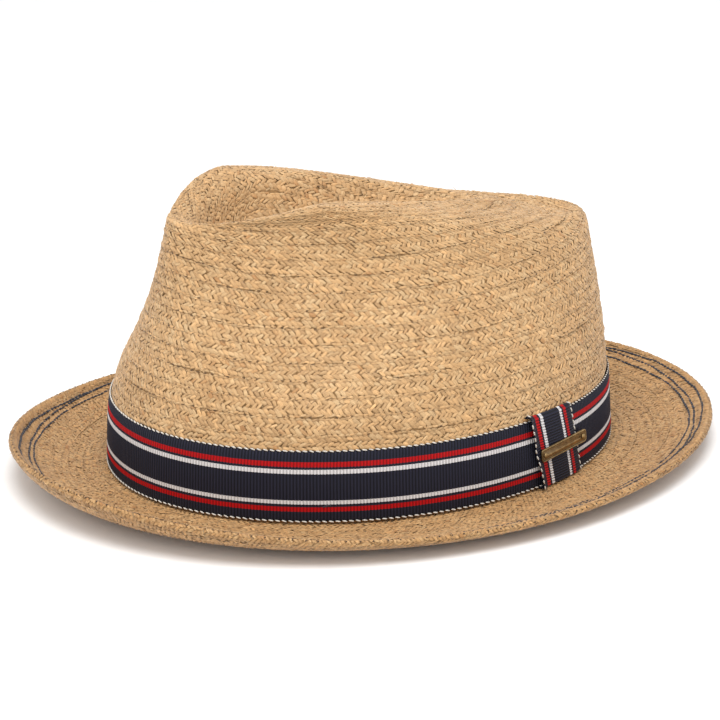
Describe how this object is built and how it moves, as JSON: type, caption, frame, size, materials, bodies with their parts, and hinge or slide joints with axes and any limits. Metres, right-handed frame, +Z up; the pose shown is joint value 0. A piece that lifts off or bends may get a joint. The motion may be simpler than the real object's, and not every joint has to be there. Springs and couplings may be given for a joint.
{
  "type": "fedora hat",
  "caption": "Short-brim straw fedora of sewn raffia braid with a pinched teardrop crown, striped ribbon band, keeper strap and a blank metal plate.",
  "frame": {"origin": "under the middle of the hat, on the plane that the brim's flat ring rests on", "axes": "-Y is the front of the hat, +X the wearer's left, +Z up"},
  "size_m": [0.2348, 0.2856, 0.1073],
  "materials": {
    "raffia": "plaited raffia straw, matt with a faint fibre sheen",
    "navy_thread": "dark navy cotton thread",
    "tan_thread": "tan cotton thread",
    "ribbon": "ribbed grosgrain, navy with red and white stripes",
    "antique_brass": "aged satin brass",
    "sweatband_cloth": "dark woven cotton tape",
    "label_cloth": "blank woven label"
  },
  "bodies": {
    "root": {"crown_body": "raffia", "brim": "raffia", "brim_hem": "raffia", "edge_stitch_outer": "navy_thread", "edge_stitch_middle": "navy_thread", "edge_stitch_inner": "navy_thread", "hem_stitch_outer": "tan_thread", "hem_stitch_inner": "tan_thread", "ribbon_band": "ribbon", "ribbon_keeper": "ribbon", "ribbon_tack_1": "navy_thread", "ribbon_tack_2": "navy_thread", "ribbon_tack_3": "navy_thread", "ribbon_tack_4": "navy_thread", "metal_plate": "antique_brass", "plate_pin_front": "antique_brass", "plate_pin_rear": "antique_brass", "sweatband": "sweatband_cloth", "sweatband_reed": "tan_thread", "sweatband_stitching": "tan_thread", "joint_tape": "sweatband_cloth", "size_label": "label_cloth"}
  },
  "joints": []
}
